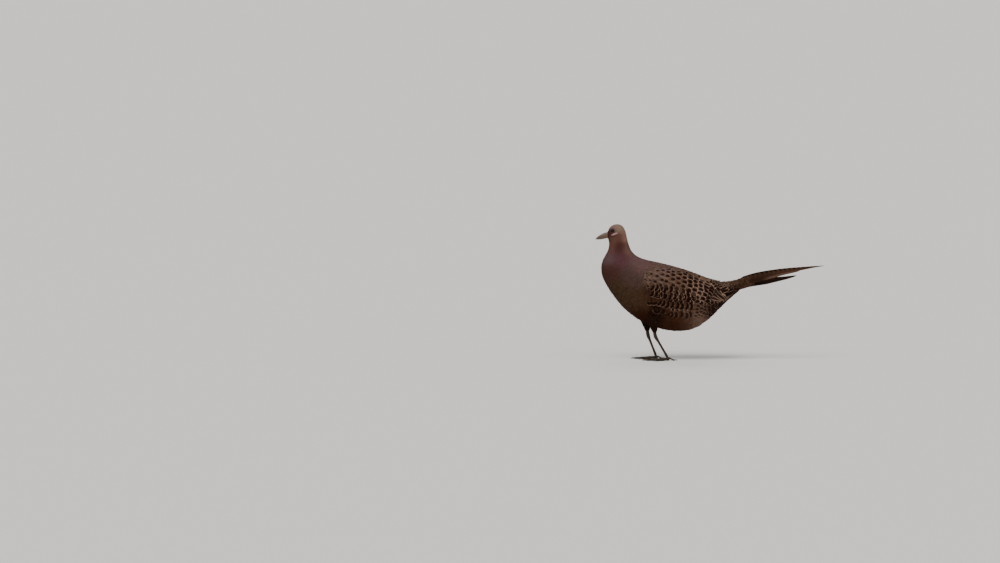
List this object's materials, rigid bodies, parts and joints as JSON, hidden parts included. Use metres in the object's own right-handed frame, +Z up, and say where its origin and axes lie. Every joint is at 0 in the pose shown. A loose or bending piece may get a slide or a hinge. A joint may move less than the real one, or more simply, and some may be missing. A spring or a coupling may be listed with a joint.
{
  "type": "common pheasant hen",
  "caption": "Life-size still model of a hen common pheasant walking slowly, neck upright, wings folded and long pointed tail raised.",
  "frame": {"origin": "on the floor, under the middle of the whole bird's bounding box", "axes": "-X is the way the bird faces, so +X runs to the tail's tip; +Y is her right side; +Z is up"},
  "size_m": [0.5268, 0.1282, 0.313],
  "materials": {
    "plumage_head": "short soft feathers, warm brown with a paler crown",
    "plumage_neck": "soft feathers, brown with a pinkish purple tinge",
    "plumage_breast": "soft feathers, plain buff to olive brown, barred dark on the flanks",
    "plumage_wing": "closed vanes, buff with dark centres and pale edges",
    "plumage_belly": "loose downy feathers",
    "plumage_tail": "long stiff vanes, brown with dark bars",
    "bill": "horn, grey brown, satin",
    "eye": "wet, very dark brown",
    "leg": "scaled skin, grey brown, satin",
    "claw": "horn, dark, satin"
  },
  "bodies": {
    "root": {"bill_lower": "bill", "bill_upper": "bill", "claw_left_hind": "claw", "claw_left_inner": "claw", "claw_left_middle": "claw", "claw_left_outer": "claw", "claw_right_hind": "claw", "claw_right_inner": "claw", "claw_right_middle": "claw", "claw_right_outer": "claw", "eye_left": "eye", "eye_right": "eye", "foot_left": "leg", "foot_right": "leg", "head": "plumage_head", "neck": "plumage_neck", "shank_left": "leg", "shank_right": "leg", "tail_centre": "plumage_tail", "tail_coverts": "plumage_tail", "tail_left": "plumage_tail", "tail_right": "plumage_tail", "thigh_left": "plumage_belly", "thigh_right": "plumage_belly", "trunk": "plumage_breast", "wing_left": "plumage_wing", "wing_right": "plumage_wing"}
  },
  "joints": []
}
